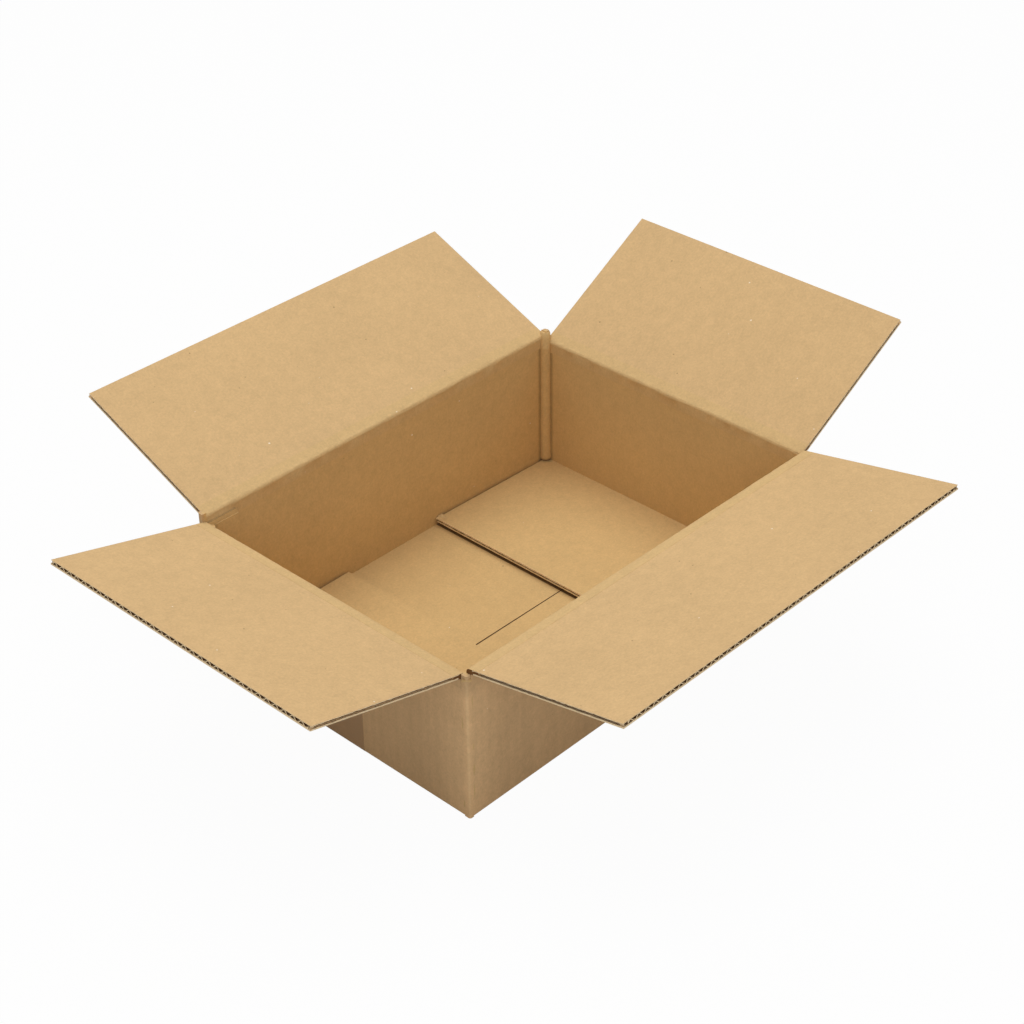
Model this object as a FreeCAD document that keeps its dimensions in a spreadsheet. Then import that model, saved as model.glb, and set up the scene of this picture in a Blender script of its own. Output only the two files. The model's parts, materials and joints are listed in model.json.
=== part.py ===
"""Open cardboard box: a slotted carton of single-wall board with its four top flaps folded out.

Millimetres. X runs along the long walls, Y along the short ones, +Z up. The origin is the middle
of the surface that the box stands on. The front wall is the long one on -Y, the left wall the
short one on -X.

The walls, the bottom flaps and the glue tab are one folded sheet. The top flaps are the same sheet
too, and each turns about the score that joins it to its wall.
"""

import FreeCAD, Part
import math
import os

import Sketcher

# Every driving dimension: alias, value, what it is. Lengths in mm, angles in degrees.
DIMENSIONS = (
    ("outer_length", 300.0, "long walls, outside"),
    ("outer_width", 220.0, "short walls, outside"),
    ("long_score_height", 100.6, "score axis of the long flaps above the standing surface"),
    ("board_thickness", 3.0, "corrugated board, outer liner to inner liner"),
    ("liner_thickness", 0.35, "one flat liner"),
    ("medium_thickness", 0.3, "the fluted sheet between the liners"),
    ("flute_pitch", 6.5, "from one flute to the next"),
    ("flute_crest", 0.9, "width over which a flute is glued to a liner"),
    ("flute_land", 1.2, "least width left between a cut side edge and the first flute"),
    ("crush_length", 7.0, "board pressed flat beside a score"),
    ("bottom_flute_depth", 8.0, "open length of the flutes in the bottom flaps"),
    ("score_inset", 0.5, "score axis in from the outer face"),
    ("score_thickness", 0.9, "board left in the score"),
    ("score_clearance", 0.05, "running gap on each side of a score"),
    ("mitre_clearance", 0.075, "each inner mitre short of the plane in which wall and flap would meet"),
    ("neck_height", 0.1, "start of the inner mitre above or below the score axis"),
    ("score_bend_radius", 3.0, "soft bend where a face runs into its score"),
    ("fold_back_limit", 150.0, "furthest a flap folds out, from upright"),
    ("lap_clearance", 0.3, "between the closed short flaps and the long ones above them"),
    ("meeting_gap", 0.4, "between the two long flaps where they meet"),
    ("long_slot_setback", 3.3, "side edge of a long flap in from the end of the box"),
    ("short_slot_setback", 4.3, "side edge of a short flap in from the side of the box"),
    ("slot_clearance", 0.3, "corner post to the flap beside it"),
    ("back_post_rise", 4.6, "back corner posts above the long score"),
    ("front_post_drop", 0.8, "crushed front corner posts below the long score"),
    ("corner_radius", 1.4, "upright folds, outside"),
    ("bead_radius", 3.8, "crushed board that bulges inward along an upright fold"),
    ("bead_skin", 0.2, "board outside that bulge"),
    ("bottom_radius", 1.7, "bottom folds, outside"),
    ("corner_notch", 0.3, "lower end of an upright fold above the underside of the board"),
    ("bottom_seam_offset", 4.0, "seam of the bottom flaps, in front of the middle"),
    ("bottom_gap", 0.15, "between the layers of the bottom"),
    ("left_lift", 0.5, "rise of the left bottom flap, degrees"),
    ("right_lift", 1.4, "rise of the right bottom flap, degrees"),
    ("tab_width", 27.0, "glue tab, from the left end of the box"),
    ("tab_thickness", 1.5, "glue tab, crushed to about half the board"),
    ("tab_clearance", 0.5, "glue tab to the bottom flap under it and the closed flap over it"),
    ("tape_width", 50.0, "packing tape"),
    ("tape_thickness", 0.1, "packing tape"),
    ("tape_leg", 62.0, "how far the tape runs up an end wall"),
    ("front_angle", 78.2, "front flap, from upright"),
    ("back_angle", 67.4, "back flap, from upright"),
    ("left_angle", 75.2, "left flap, from upright"),
    ("right_angle", 60.3, "right flap, from upright"),
)

SHEET_NAME = "Dimensions"

# How close an edge lies to where it is looked for.
TOLERANCE = 1e-4


class Term:
    """A size with the sheet formula that gives it, so that sketches and features follow the sheet."""

    def __init__(self, value, text):
        self.value = float(value)
        self.text = text

    def _join(self, other, sign, value):
        return Term(value, "(%s %s %s)" % (self.text, sign, as_term(other).text))

    def __add__(self, other):
        return self._join(other, "+", self.value + as_term(other).value)

    def __sub__(self, other):
        return self._join(other, "-", self.value - as_term(other).value)

    def __mul__(self, other):
        return self._join(other, "*", self.value * as_term(other).value)

    def __truediv__(self, other):
        return self._join(other, "/", self.value / as_term(other).value)

    def __neg__(self):
        return Term(-self.value, "(0 - %s)" % self.text)


def as_term(number):
    return number if isinstance(number, Term) else Term(number, repr(float(number)))


def tangent(angle):
    return Term(math.tan(math.radians(angle.value)), "tan(%s)" % angle.text)


def whole(term):
    return Term(math.floor(term.value), "floor(%s)" % term.text)


def make_sheet(doc):
    """Write the driving dimensions to the sheet and return them as terms."""
    sheet = doc.addObject("Spreadsheet::Sheet", SHEET_NAME)
    for row, (alias, value, note) in enumerate(DIMENSIONS, start=1):
        sheet.set("A%d" % row, note)
        sheet.set("B%d" % row, str(value))
        sheet.setAlias("B%d" % row, alias)
    doc.recompute()
    return {alias: Term(getattr(sheet, alias), "%s.%s" % (SHEET_NAME, alias)) for alias, _, _ in DIMENSIONS}


def origin_plane(body, role):
    return next(feature for feature in body.Origin.OriginFeatures if feature.Role == role)


def add_sketch(body, name, role, offset=None):
    """A sketch on one of the body's own origin planes, moved along the plane's normal by offset."""
    sketch = body.newObject("Sketcher::SketchObject", name)
    sketch.AttachmentSupport = [(origin_plane(body, role), "")]
    sketch.MapMode = "FlatFace"
    if offset is not None:
        sketch.AttachmentOffset = FreeCAD.Placement(FreeCAD.Vector(0, 0, offset.value), FreeCAD.Rotation())
        sketch.setExpression("AttachmentOffset.Base.z", offset.text)
    return sketch


def tie(sketch, kind, reference, term):
    """One constraint whose value follows the sheet."""
    index = sketch.addConstraint(Sketcher.Constraint(kind, *reference, term.value))
    sketch.setExpression("Constraints[%d]" % index, term.text)


def draw_outline(sketch, corners):
    """A closed outline of straight lines through corners, each tied to the sketch's origin."""
    points = [FreeCAD.Vector(x.value, y.value, 0) for x, y in corners]
    first = sketch.GeometryCount
    count = len(points)
    for i in range(count):
        sketch.addGeometry(Part.LineSegment(points[i], points[(i + 1) % count]), False)
    for i in range(count):
        following = first + (i + 1) % count
        sketch.addConstraint(Sketcher.Constraint("Coincident", first + i, 2, following, 1))
    for i, (x, y) in enumerate(corners):
        tie(sketch, "DistanceX", (-1, 1, first + i, 1), x)
        tie(sketch, "DistanceY", (-1, 1, first + i, 1), y)


def draw_rectangle(sketch, left, right, low, high):
    draw_outline(sketch, ((left, low), (right, low), (right, high), (left, high)))


def draw_circle(sketch, x, y, radius):
    index = sketch.GeometryCount
    centre = FreeCAD.Vector(x.value, y.value, 0)
    sketch.addGeometry(Part.Circle(centre, FreeCAD.Vector(0, 0, 1), radius.value), False)
    tie(sketch, "Radius", (index,), radius)
    tie(sketch, "DistanceX", (-1, 1, index, 3), x)
    tie(sketch, "DistanceY", (-1, 1, index, 3), y)


def add_pad(body, sketch, length, symmetric=False):
    pad = body.newObject("PartDesign::Pad", sketch.Name + "_pad")
    pad.Profile = sketch
    pad.SideType = "Symmetric" if symmetric else "One side"
    pad.setExpression("Length", length.text)
    body.Document.recompute()
    return pad


def add_pocket(body, sketch, length, symmetric=False, reverse=False):
    """Cut the sketch away, and fail if the cut misses the solid."""
    before = body.Shape.Volume
    pocket = body.newObject("PartDesign::Pocket", sketch.Name + "_pocket")
    pocket.Profile = sketch
    pocket.SideType = "Symmetric" if symmetric else "One side"
    pocket.Reversed = reverse
    pocket.setExpression("Length", length.text)
    body.Document.recompute()
    if not body.Shape.Volume < before:
        raise RuntimeError("%s removes nothing" % pocket.Name)
    return pocket


def add_row(body, feature, axis, pitch, count):
    """Repeat a cut along one of the body's axes."""
    before = body.Shape.Volume
    row = body.newObject("PartDesign::LinearPattern", feature.Name + "_row")
    row.Originals = [feature]
    row.Direction = (origin_plane(body, axis), [""])
    row.Mode = "Spacing"
    row.Refine = False
    row.setExpression("Offset", pitch.text)
    row.setExpression("Occurrences", count.text)
    body.Tip = row
    body.Document.recompute()
    if not body.Shape.Volume < before:
        raise RuntimeError("%s repeats nothing" % row.Name)
    return row


def add_fillet(body, name, radius, wanted):
    """Round the edges of the present solid for which wanted(edge) is true."""
    base = body.Tip
    names = ["Edge%d" % i for i, edge in enumerate(base.Shape.Edges, start=1) if wanted(edge)]
    if not names:
        raise RuntimeError("%s finds no edge" % name)
    fillet = body.newObject("PartDesign::Fillet", name)
    fillet.Base = (base, names)
    fillet.setExpression("Radius", radius.text)
    body.Document.recompute()
    return fillet


def near(value, term):
    return abs(value - term.value) < TOLERANCE


def lies_at(first, first_term, second, second_term):
    return near(first, first_term) and near(second, second_term)


def middle_of(edge):
    return edge.valueAt((edge.FirstParameter + edge.LastParameter) / 2)


def score_profile(d, root_y, sign):
    """Heights at which a face of the board runs into its score: outer groove, neck and inner mitre.

    The inner faces of wall and flap are mitred at 45 degrees, so that the flap closes flat. The
    outer faces are grooved so that it folds back to its limit. sign is +1 above the score axis, at
    the flap, and -1 below it, at the wall. root_y is the axis, in the sketch.
    """
    half_groove = (as_term(180) - d["fold_back_limit"]) / 2
    groove = d["score_inset"] / tangent(half_groove) + d["score_clearance"] / tangent(half_groove)
    mitre = d["board_thickness"] - d["score_inset"] + d["mitre_clearance"]
    outer = d["score_inset"]
    inner = d["board_thickness"] - d["score_inset"]
    return {
        "outer": root_y(outer, groove * sign),
        "neck": root_y(as_term(0), d["neck_height"] * sign),
        "inner": root_y(-inner, mitre * sign),
    }


def draw_flute_pair(sketch, d, start, low):
    """One pitch of the board's section: the hollow over a flute and the hollow under the next.

    start is where the pitch begins along the edge and low the lower face of the board.
    """
    web = d["medium_thickness"]
    floor = low + d["liner_thickness"]
    roof = low + d["board_thickness"] - d["liner_thickness"]
    crest = d["flute_crest"] / 2
    half_pitch = d["flute_pitch"] / 2
    foot = half_pitch - crest - web
    first = start + half_pitch / 2
    for middle, wide, narrow in (
        (first, floor, roof - web),
        (first + half_pitch, roof, floor + web),
    ):
        corners = (
            (middle - foot, wide),
            (middle + foot, wide),
            (middle + crest, narrow),
            (middle - crest, narrow),
        )
        draw_outline(sketch, corners)


def flute_count(d, width):
    return whole((width - d["flute_land"] * 2) / d["flute_pitch"])


def make_flap(doc, d, name, width, depth, hinge, yaw, angle):
    """A top flap, drawn upright over its score axis: x along the score, y outward, z to the free edge."""
    body = doc.addObject("PartDesign::Body", name)
    body.Label = name
    inner_face = d["score_inset"] - d["board_thickness"]

    section = add_sketch(body, name + "_section", "YZ_Plane")
    profile = score_profile(d, lambda y, z: (y, z), 1)
    corners = (
        (d["score_inset"], depth),
        (inner_face, depth),
        profile["inner"],
        profile["neck"],
        profile["outer"],
    )
    draw_outline(section, corners)
    add_pad(body, section, width, symmetric=True)

    def is_bend(edge):
        middle = middle_of(edge)
        return lies_at(middle.y, inner_face, middle.z, profile["inner"][1])

    add_fillet(body, name + "_bend", d["score_bend_radius"], is_bend)

    score = add_sketch(body, name + "_score", "YZ_Plane")
    draw_circle(score, as_term(0), as_term(0), d["score_thickness"] / 2)
    add_pad(body, score, width, symmetric=True)

    count = flute_count(d, width)
    flutes_start = -(count * d["flute_pitch"] / 2)
    open_length = depth - d["crush_length"]

    sides = add_sketch(body, name + "_cut_flutes", "XY_Plane", depth)
    low = inner_face + d["liner_thickness"]
    high = d["score_inset"] - d["liner_thickness"]
    web = d["medium_thickness"]
    half = width / 2
    draw_rectangle(sides, -(half + web), flutes_start - web, low, high)
    draw_rectangle(sides, web - flutes_start, half + web, low, high)
    add_pocket(body, sides, open_length)

    cell = add_sketch(body, name + "_flutes", "XY_Plane", depth)
    draw_flute_pair(cell, d, flutes_start, inner_face)
    pocket = add_pocket(body, cell, open_length)
    add_row(body, pocket, "X_Axis", d["flute_pitch"], count)

    x, y, z = hinge
    place = "placement(vector(%s; %s; %s); rotation(%g; 0; 0 - %s))"
    body.setExpression("Placement", place % (x.text, y.text, z.text, yaw, angle.text))
    doc.recompute()
    return body


def make_box_body(doc, d):
    """The four walls, the bottom flaps and the glue tab."""
    body = doc.addObject("PartDesign::Body", "box_body")
    body.Label = "box_body"
    half_x = d["outer_length"] / 2
    half_y = d["outer_width"] / 2
    board = d["board_thickness"]
    floor = d["tape_thickness"]
    post_x = half_x - (d["long_slot_setback"] - d["slot_clearance"])
    post_y = half_y - (d["short_slot_setback"] - d["slot_clearance"])
    post_top = d["long_score_height"] + d["back_post_rise"]
    wall_bottom = floor + d["bottom_radius"] + d["corner_notch"]
    post_bottom = floor + d["corner_notch"]

    ring = add_sketch(body, "walls", "XY_Plane", wall_bottom)
    draw_rectangle(ring, -half_x, half_x, -half_y, half_y)
    draw_rectangle(ring, -(half_x - board), half_x - board, -(half_y - board), half_y - board)
    add_pad(body, ring, post_top - wall_bottom)

    feet = add_sketch(body, "corner_feet", "XY_Plane", post_bottom)
    for left, right in ((-half_x, -post_x), (post_x, half_x)):
        for low, high in ((-half_y, -post_y), (post_y, half_y)):
            draw_rectangle(feet, left, right, low, high)
    add_pad(body, feet, wall_bottom - post_bottom)

    def is_upright_fold(edge):
        middle = middle_of(edge)
        return lies_at(abs(middle.x), half_x, abs(middle.y), half_y)

    add_fillet(body, "upright_folds", d["corner_radius"], is_upright_fold)
    add_long_bottom_flaps(body, d, half_x, half_y, floor)
    cut_wall_tops(body, d, "long", "YZ_Plane", half_y, d["long_score_height"], post_x, post_top)
    cut_wall_tops(body, d, "short", "XZ_Plane", half_x, short_score_height(d), post_y, post_top)
    crushed_top = d["long_score_height"] - d["front_post_drop"]
    crushed = add_sketch(body, "front_posts", "XY_Plane", crushed_top)
    draw_rectangle(crushed, -(half_x + board), half_x + board, -(half_y + board), -post_y)
    add_pocket(body, crushed, post_top - crushed_top, reverse=True)
    add_short_bottom_flaps(body, d, half_x, half_y, floor)
    add_corner_beads(body, d, half_x, half_y)
    return body


def cut_wall_tops(body, d, label, plane, reach, score_height, run, post_top):
    """Cut two facing walls down to their score between the corner posts, and seat the score."""
    board = d["board_thickness"]
    clear_of = board
    waste = add_sketch(body, label + "_wall_tops", plane)
    seats = add_sketch(body, label + "_score_seats", plane)
    bends = []
    for side in (-1, 1):
        axis = (reach - d["score_inset"]) * side

        def at_score(out, up, axis=axis, side=side):
            return axis + out * side, score_height + up

        profile = score_profile(d, at_score, -1)
        outside = (reach + clear_of) * side
        inside = (reach - board - clear_of) * side
        corners = (
            (outside, profile["outer"][1]),
            profile["outer"],
            profile["neck"],
            profile["inner"],
            (inside, profile["inner"][1]),
            (inside, post_top + clear_of),
            (outside, post_top + clear_of),
        )
        draw_outline(waste, corners)
        draw_circle(seats, axis, score_height, d["score_thickness"] / 2 + d["score_clearance"])
        bends.append(profile["inner"])
    add_pocket(body, waste, run * 2, symmetric=True)
    add_pocket(body, seats, run * 2, symmetric=True)

    def is_bend(edge):
        middle = middle_of(edge)
        across = middle.y if plane == "YZ_Plane" else middle.x
        return any(lies_at(across, bend[0], middle.z, bend[1]) for bend in bends)

    add_fillet(body, label + "_score_bends", d["score_bend_radius"], is_bend)


def add_long_bottom_flaps(body, d, half_x, half_y, floor):
    """Two long flaps that meet at the seam, the feet of the end walls, and the folds of all four."""
    board = d["board_thickness"]
    seam = -d["bottom_seam_offset"]
    half_gap = d["meeting_gap"] / 2
    end = half_x - d["long_slot_setback"]
    foot = half_y - d["short_slot_setback"]

    sketch = add_sketch(body, "bottom_long_flaps", "XY_Plane", floor)
    draw_rectangle(sketch, -end, end, -half_y, seam - half_gap)
    draw_rectangle(sketch, -end, end, seam + half_gap, half_y)
    draw_rectangle(sketch, -half_x, board - half_x, -foot, foot)
    draw_rectangle(sketch, half_x - board, half_x, -foot, foot)
    add_pad(body, sketch, board)

    def is_bottom_fold(edge):
        middle = middle_of(edge)
        at_outer_face = near(abs(middle.x), half_x) or near(abs(middle.y), half_y)
        return at_outer_face and near(middle.z, floor)

    add_fillet(body, "bottom_folds", d["bottom_radius"], is_bottom_fold)


def add_short_bottom_flaps(body, d, half_x, half_y, floor):
    """Two short flaps that lie on the long ones and rise a little, and the glue tab above them."""
    board = d["board_thickness"]
    into_wall = board / 2
    width = (half_y - d["short_slot_setback"]) * 2
    root = half_x - into_wall
    free_edge = half_x - half_y
    under = floor + board + d["bottom_gap"]
    section = add_sketch(body, "bottom_short_flaps", "XZ_Plane")
    free_edge_heights = {}
    for side, lift in ((-1, d["left_lift"]), (1, d["right_lift"])):
        high = under + (root - free_edge) * tangent(lift)
        free_edge_heights[side] = high
        corners = (
            (root * side, under),
            (free_edge * side, high),
            (free_edge * side, high + board),
            (root * side, under + board),
        )
        draw_outline(section, corners)
    add_pad(body, section, width, symmetric=True)

    tab_bottom = under + board + d["tab_clearance"]
    tab_top = short_flap_underside(d) - d["tab_clearance"]
    tab = add_sketch(body, "glue_tab", "XY_Plane", tab_bottom)
    tab_face = half_y - board - d["tab_thickness"]
    draw_rectangle(tab, into_wall - half_x, d["tab_width"] - half_x, tab_face, half_y - into_wall)
    add_pad(body, tab, tab_top - tab_bottom)

    count = flute_count(d, width)
    start = -(count * d["flute_pitch"] / 2)
    for side, label in ((-1, "left"), (1, "right")):
        cell = add_sketch(body, label + "_bottom_flutes", "YZ_Plane", free_edge * side)
        draw_flute_pair(cell, d, start, free_edge_heights[side])
        pocket = add_pocket(body, cell, d["bottom_flute_depth"], reverse=side > 0)
        add_row(body, pocket, "Y_Axis", d["flute_pitch"], count)


def short_score_height(d):
    """The closed short flaps lie just under the closed long ones."""
    return d["long_score_height"] - d["board_thickness"] - d["lap_clearance"]


def short_flap_underside(d):
    """Height of the closed short flaps' inner faces."""
    return short_score_height(d) - (d["board_thickness"] - d["score_inset"])


def add_corner_beads(body, d, half_x, half_y):
    """The crushed board that bulges inward along each upright fold, up to the closed short flaps."""
    inset = d["bead_radius"] + d["bead_skin"]
    start = d["tape_thickness"] + d["board_thickness"]
    end = short_flap_underside(d) - d["lap_clearance"]
    beads = add_sketch(body, "corner_beads", "XY_Plane", start)
    for x in (-1, 1):
        for y in (-1, 1):
            draw_circle(beads, (half_x - inset) * x, (half_y - inset) * y, d["bead_radius"])
    add_pad(body, beads, end - start)


def make_tape(doc, d):
    """The strip over the bottom seam that runs up both end walls."""
    body = doc.addObject("PartDesign::Body", "packing_tape")
    body.Label = "packing_tape"
    inside = d["outer_length"] / 2
    outside = inside + d["tape_thickness"]
    section = add_sketch(body, "tape_section", "XZ_Plane")
    top = d["tape_leg"]
    board_face = d["tape_thickness"]
    zero = as_term(0)
    corners = (
        (-outside, zero),
        (outside, zero),
        (outside, top),
        (inside, top),
        (inside, board_face),
        (-inside, board_face),
        (-inside, top),
        (-outside, top),
    )
    draw_outline(section, corners)
    add_pad(body, section, d["tape_width"], symmetric=True)

    def at(across, height):
        return lambda edge: lies_at(abs(middle_of(edge).x), across, middle_of(edge).z, height)

    add_fillet(body, "tape_inner_bends", d["bottom_radius"], at(inside, board_face))
    add_fillet(body, "tape_outer_bends", d["bottom_radius"] + d["tape_thickness"], at(outside, zero))
    return body


def make_parts(doc, d):
    half_x = d["outer_length"] / 2
    half_y = d["outer_width"] / 2
    long_height = d["long_score_height"]
    short_height = short_score_height(d)
    long_width = d["outer_length"] - d["long_slot_setback"] * 2
    short_width = d["outer_width"] - d["short_slot_setback"] * 2
    depth = half_y - d["score_inset"] - d["meeting_gap"] / 2
    zero = as_term(0)
    to_front = (zero, d["score_inset"] - half_y, long_height)
    to_back = (zero, half_y - d["score_inset"], long_height)
    to_left = (d["score_inset"] - half_x, zero, short_height)
    to_right = (half_x - d["score_inset"], zero, short_height)
    return [
        make_box_body(doc, d),
        make_flap(doc, d, "front_flap", long_width, depth, to_front, 180, d["front_angle"]),
        make_flap(doc, d, "back_flap", long_width, depth, to_back, 0, d["back_angle"]),
        make_flap(doc, d, "left_flap", short_width, depth, to_left, 90, d["left_angle"]),
        make_flap(doc, d, "right_flap", short_width, depth, to_right, -90, d["right_angle"]),
        make_tape(doc, d),
    ]


def check(doc, parts):
    """Stop on any failed object, and on any piece that is not one valid solid."""
    for item in doc.Objects:
        if {"Invalid", "Error"} & set(item.State):
            raise RuntimeError("%s failed: %s" % (item.Name, item.State))
    for part in parts:
        shape = part.Shape
        if shape.isNull() or not shape.isValid() or len(shape.Solids) != 1:
            raise RuntimeError("%s is not one valid solid" % part.Label)


def main():
    doc = FreeCAD.newDocument("open_cardboard_box")
    parts = make_parts(doc, make_sheet(doc))
    doc.recompute()
    check(doc, parts)
    os.makedirs("parts", exist_ok=True)
    for part in parts:
        part.Shape.exportStep("parts/%s.step" % part.Label)
        print(part.Label, round(part.Shape.Volume), part.Shape.BoundBox)


main()
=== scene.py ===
"""An open cardboard box in a pale studio: kraft board, soft scores, crushed corners and packing tape.

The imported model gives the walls, the bottom, the four flaps with their open flutes, and the tape. This
script dresses them as kraft board and adds the paper that bends at each score, the crushed board at
the corners and the frayed liner. Metres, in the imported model's own frame.
"""

import json
import logging
import math
from dataclasses import dataclass
from enum import Enum
from typing import Any, Dict, List, Optional, Sequence, Tuple

import bpy
from mathutils import Matrix, Vector


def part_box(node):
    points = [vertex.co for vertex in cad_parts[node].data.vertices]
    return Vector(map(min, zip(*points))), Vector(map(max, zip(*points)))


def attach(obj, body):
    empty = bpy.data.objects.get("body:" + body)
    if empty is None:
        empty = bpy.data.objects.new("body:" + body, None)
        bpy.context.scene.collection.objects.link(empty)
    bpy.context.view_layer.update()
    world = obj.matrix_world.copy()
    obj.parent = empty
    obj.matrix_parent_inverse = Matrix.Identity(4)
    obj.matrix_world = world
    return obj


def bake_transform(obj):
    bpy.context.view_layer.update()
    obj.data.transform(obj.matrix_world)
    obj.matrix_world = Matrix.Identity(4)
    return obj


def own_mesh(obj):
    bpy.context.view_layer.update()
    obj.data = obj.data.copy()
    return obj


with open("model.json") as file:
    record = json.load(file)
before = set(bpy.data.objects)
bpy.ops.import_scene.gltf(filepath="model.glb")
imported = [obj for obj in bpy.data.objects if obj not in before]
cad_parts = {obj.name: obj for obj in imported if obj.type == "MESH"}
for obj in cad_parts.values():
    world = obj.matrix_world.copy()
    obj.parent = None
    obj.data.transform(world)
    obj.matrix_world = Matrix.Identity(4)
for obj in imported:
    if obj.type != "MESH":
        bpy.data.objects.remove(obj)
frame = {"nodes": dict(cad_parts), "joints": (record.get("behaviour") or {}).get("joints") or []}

LOG = logging.getLogger("cardboard_box")
MM = 0.001
Colour = Tuple[float, float, float]


def linear(red: int, green: int, blue: int) -> Colour:
    """A colour given in ordinary 0 to 255 steps, as the shader wants it.

    Args:
        red: red, 0 to 255.
        green: green, 0 to 255.
        blue: blue, 0 to 255.

    Returns:
        The same colour in linear light.
    """
    steps = [value / 255 for value in (red, green, blue)]
    return tuple(v / 12.92 if v <= 0.04045 else ((v + 0.055) / 1.055) ** 2.4 for v in steps)


class Field:
    """A value that changes over a surface: an output socket with arithmetic."""

    def __init__(self, graph: "Graph", socket: Any) -> None:
        """Wrap a socket.

        Args:
            graph: the material's graph.
            socket: the output socket.
        """
        self.graph = graph
        self.socket = socket

    def _math(self, operation: str, *values: Any) -> "Field":
        """One Math node on these values."""
        return self.graph.node("ShaderNodeMath", {"operation": operation}, dict(enumerate(values)))

    def __add__(self, other: Any) -> "Field":
        """Sum."""
        return self._math("ADD", self, other)

    __radd__ = __add__

    def __sub__(self, other: Any) -> "Field":
        """Difference."""
        return self._math("SUBTRACT", self, other)

    def __rsub__(self, other: Any) -> "Field":
        """Difference, the other way."""
        return self._math("SUBTRACT", other, self)

    def __mul__(self, other: Any) -> "Field":
        """Product."""
        return self._math("MULTIPLY", self, other)

    __rmul__ = __mul__

    def __abs__(self) -> "Field":
        """Size without sign."""
        return self._math("ABSOLUTE", self)

    def above(self, limit: float) -> "Field":
        """1 where the value is above the limit, else 0."""
        return self._math("GREATER_THAN", self, limit)

    def below(self, limit: float) -> "Field":
        """1 where the value is below the limit, else 0."""
        return self._math("LESS_THAN", self, limit)

    def wave(self, length: float) -> "Field":
        """A sine wave of this length along the value."""
        return self._math("SINE", self * (2 * math.pi / length))

    def most(self, other: Any) -> "Field":
        """The larger of the two."""
        return self._math("MAXIMUM", self, other)

    def ease(self, start: float, end: float) -> "Field":
        """A smooth step from 0 at start to 1 at end."""
        values = {"Value": self, "From Min": start, "From Max": end}
        return self.graph.node("ShaderNodeMapRange", {"interpolation_type": "SMOOTHSTEP"}, values)


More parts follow.
